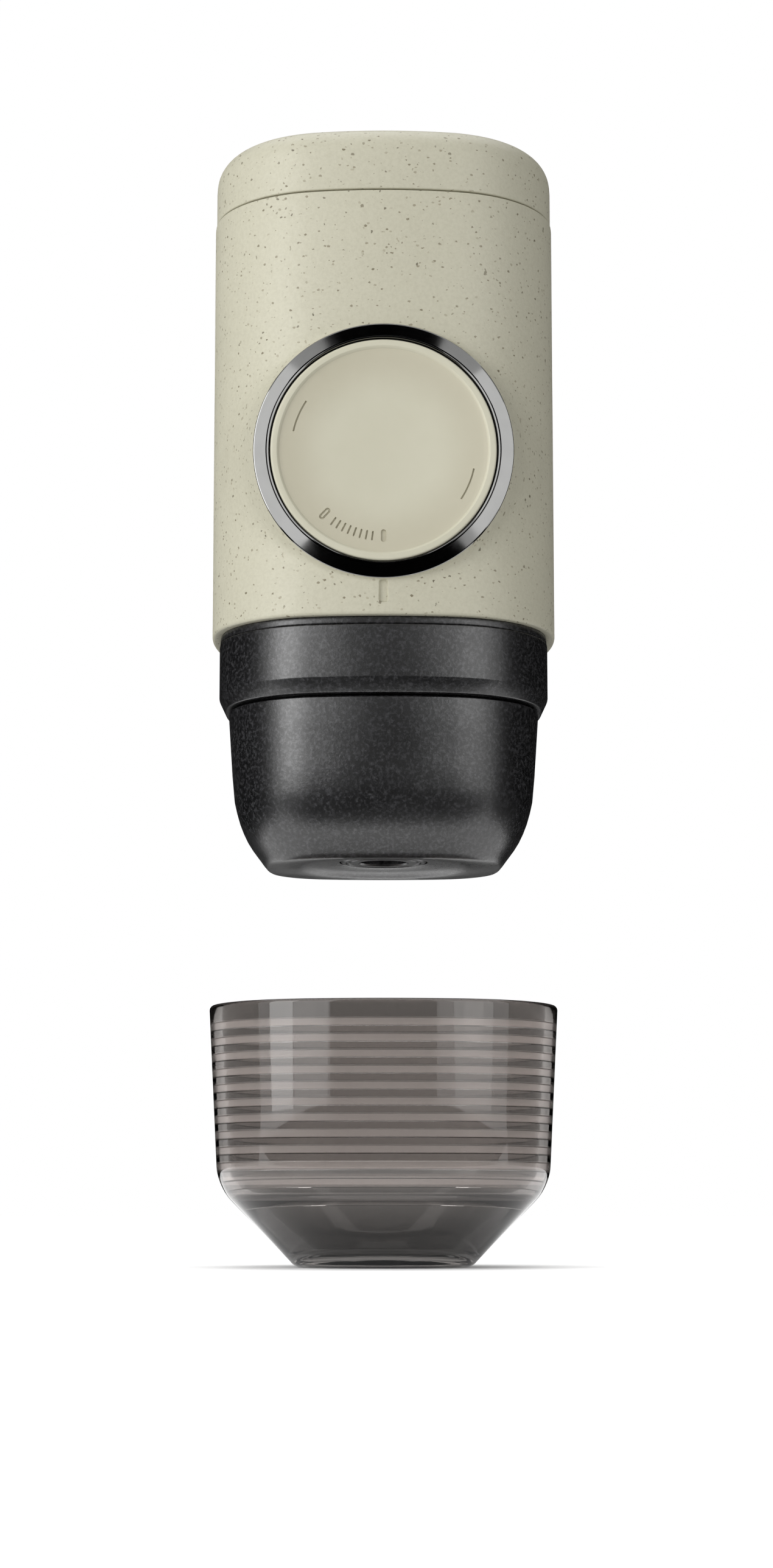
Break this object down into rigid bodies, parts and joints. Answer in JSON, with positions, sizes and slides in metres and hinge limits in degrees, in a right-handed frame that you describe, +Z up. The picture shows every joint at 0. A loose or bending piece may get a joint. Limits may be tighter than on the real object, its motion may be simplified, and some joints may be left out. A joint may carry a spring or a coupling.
{
  "type": "handheld espresso maker",
  "caption": "Hand-pumped capsule espresso maker: oval flecked body with a round pump knob, screw-on tank, dark outlet head and a smoky ribbed cup below.",
  "frame": {"origin": "middle of the cup's foot, on the table", "axes": "+Z up, out of the tank cap; -Y to the front, where the knob is; +X to the right of someone who looks at the knob"},
  "size_m": [0.068, 0.0626, 0.2201],
  "materials": {
    "speckled_shell": "moulded, fine brown and grey flecks, satin",
    "knob_plastic": "moulded, plain, satin",
    "dark_plastic": "moulded charcoal, fine sparkle grain, satin",
    "bezel_chrome": "polished",
    "smoke_cup": "clear smoky moulding, polished",
    "tank_clear": "clear grey moulding",
    "inner_plastic": "glass-filled moulding, matt",
    "pump_plastic": "acetal, smooth",
    "silicone": "silicone, matt",
    "steel": "stainless, satin"
  },
  "bodies": {
    "outlet_head": {"outlet_bowl": "dark_plastic", "outlet_nozzle": "dark_plastic", "nozzle_seal": "silicone"},
    "cup": {"cup": "smoke_cup"},
    "piercing_plate": {"piercing_plate": "steel"},
    "capsule_holder": {"capsule_holder": "inner_plastic"},
    "main_unit": {"body_shell": "speckled_shell", "collar_ring": "dark_plastic", "neck_ring": "dark_plastic", "bezel_ring": "bezel_chrome", "inner_frame": "inner_plastic", "knob_guide": "inner_plastic", "tank_socket": "inner_plastic", "injection_plate": "pump_plastic", "chamber_gasket": "silicone", "collar_screws": "steel", "frame_screws": "steel", "pump_cylinder": "pump_plastic", "cylinder_cap": "pump_plastic", "rod_bush": "pump_plastic", "return_spring": "steel", "valve_block": "pump_plastic", "inlet_seat": "pump_plastic", "inlet_spring": "steel", "outlet_seat": "pump_plastic", "outlet_spring": "steel", "outlet_plug": "pump_plastic", "relief_barrel": "pump_plastic", "relief_plug": "pump_plastic", "relief_spring": "steel", "outlet_tube": "silicone", "inlet_tube": "silicone", "strainer": "steel"},
    "piston": {"piston": "pump_plastic", "piston_ring": "silicone", "piston_rod": "steel", "rod_clip": "steel"},
    "knob": {"knob_cap": "knob_plastic", "knob_skirt": "inner_plastic"},
    "inlet_ball": {"inlet_ball": "steel"},
    "outlet_ball": {"outlet_ball": "steel"},
    "relief_ball": {"relief_ball": "steel"},
    "tank_seal": {"tank_seal": "silicone"},
    "tank": {"water_tank": "tank_clear", "tank_cap": "speckled_shell"}
  },
  "joints": [
    {"name": "cup_dock", "type": "slide", "parent": "outlet_head", "child": "cup", "axis": [0, 0, 1], "range_m": [0, 0.0578]},
    {"name": "head_unscrew", "type": "hinge", "parent": "outlet_head", "child": "piercing_plate", "pos_m": [0, 0, 0.1075], "axis": [0, 0, 1], "range_deg": [0, 60]},
    {"name": "capsule_holder_lift", "type": "slide", "parent": "piercing_plate", "child": "capsule_holder", "axis": [0, 0, 1], "range_m": [0, 0.036]},
    {"name": "body_lift", "type": "slide", "parent": "capsule_holder", "child": "main_unit", "axis": [0, 0, 1], "range_m": [0, 0.04]},
    {"name": "piston_stroke", "type": "slide", "parent": "main_unit", "child": "piston", "axis": [0, -1, 0], "range_m": [0, 0.017], "deforming": ["return_spring"]},
    {"name": "knob_turn", "type": "hinge", "parent": "piston", "child": "knob", "pos_m": [0, 0, 0.15435], "axis": [0, -1, 0], "range_deg": [0, 42]},
    {"name": "inlet_valve_travel", "type": "slide", "parent": "main_unit", "child": "inlet_ball", "axis": [0, 0, -1], "range_m": [0, 0.0012], "stiffness_N_per_m": 60, "springref_m": -0.002, "deforming": ["inlet_spring"]},
    {"name": "outlet_valve_travel", "type": "slide", "parent": "main_unit", "child": "outlet_ball", "axis": [0, 0, -1], "range_m": [0, 0.0012], "stiffness_N_per_m": 60, "springref_m": -0.002, "deforming": ["outlet_spring"]},
    {"name": "relief_valve_travel", "type": "slide", "parent": "main_unit", "child": "relief_ball", "axis": [1, 0, 0], "range_m": [0, 0.001], "stiffness_N_per_m": 400, "springref_m": -0.003, "deforming": ["relief_spring"]},
    {"name": "tank_lift", "type": "slide", "parent": "main_unit", "child": "tank_seal", "axis": [0, 0, 1], "range_m": [0, 0.035]},
    {"name": "tank_unscrew", "type": "hinge", "parent": "tank_seal", "child": "tank", "pos_m": [0, 0, 0.2062], "axis": [0, 0, 1], "range_deg": [0, 90]}
  ]
}
